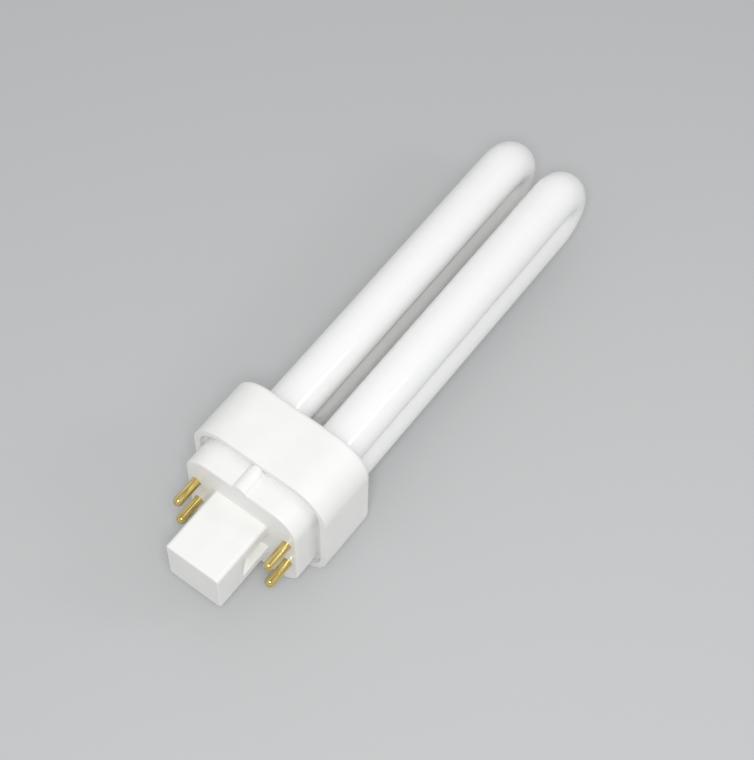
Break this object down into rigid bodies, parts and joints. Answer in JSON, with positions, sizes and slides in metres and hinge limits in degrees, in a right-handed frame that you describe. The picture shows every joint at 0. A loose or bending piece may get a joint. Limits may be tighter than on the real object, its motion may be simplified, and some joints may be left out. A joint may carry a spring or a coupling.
{
  "type": "u shaped fluorescent bulb",
  "caption": "plug-in compact fluorescent lamp: parallel white U-shaped glass tubes in a square moulded base with brass contact pins and a grip post",
  "frame": {"origin": "middle of the seating face that meets the lampholder, on the lamp's axis, which is also the middle of the contact pin pattern; the lamp lies on the flat back of its housing, below the origin", "axes": "+X along the lamp's axis from the seating face to the tube bends, so pins and post reach to -X; +Z out of the front with the key rib; +Y completes a right-handed frame (the lamp's left)"},
  "size_m": [0.1228, 0.0328, 0.0316],
  "materials": {
    "phosphor_glass": "gloss glass, white phosphor coating inside",
    "white_thermoplastic": "satin moulded thermoplastic",
    "cement": "matt basing cement",
    "brass": "bright drawn brass",
    "lead_wire": "tinned wire"
  },
  "bodies": {
    "root": {"glass_tubes": "phosphor_glass", "housing": "white_thermoplastic", "cap": "white_thermoplastic", "basing_cement": "cement", "pin_left_front": "brass", "pin_left_back": "brass", "pin_right_front": "brass", "pin_right_back": "brass", "lead_left_front": "lead_wire", "lead_left_back": "lead_wire", "lead_right_front": "lead_wire", "lead_right_back": "lead_wire"}
  },
  "joints": []
}
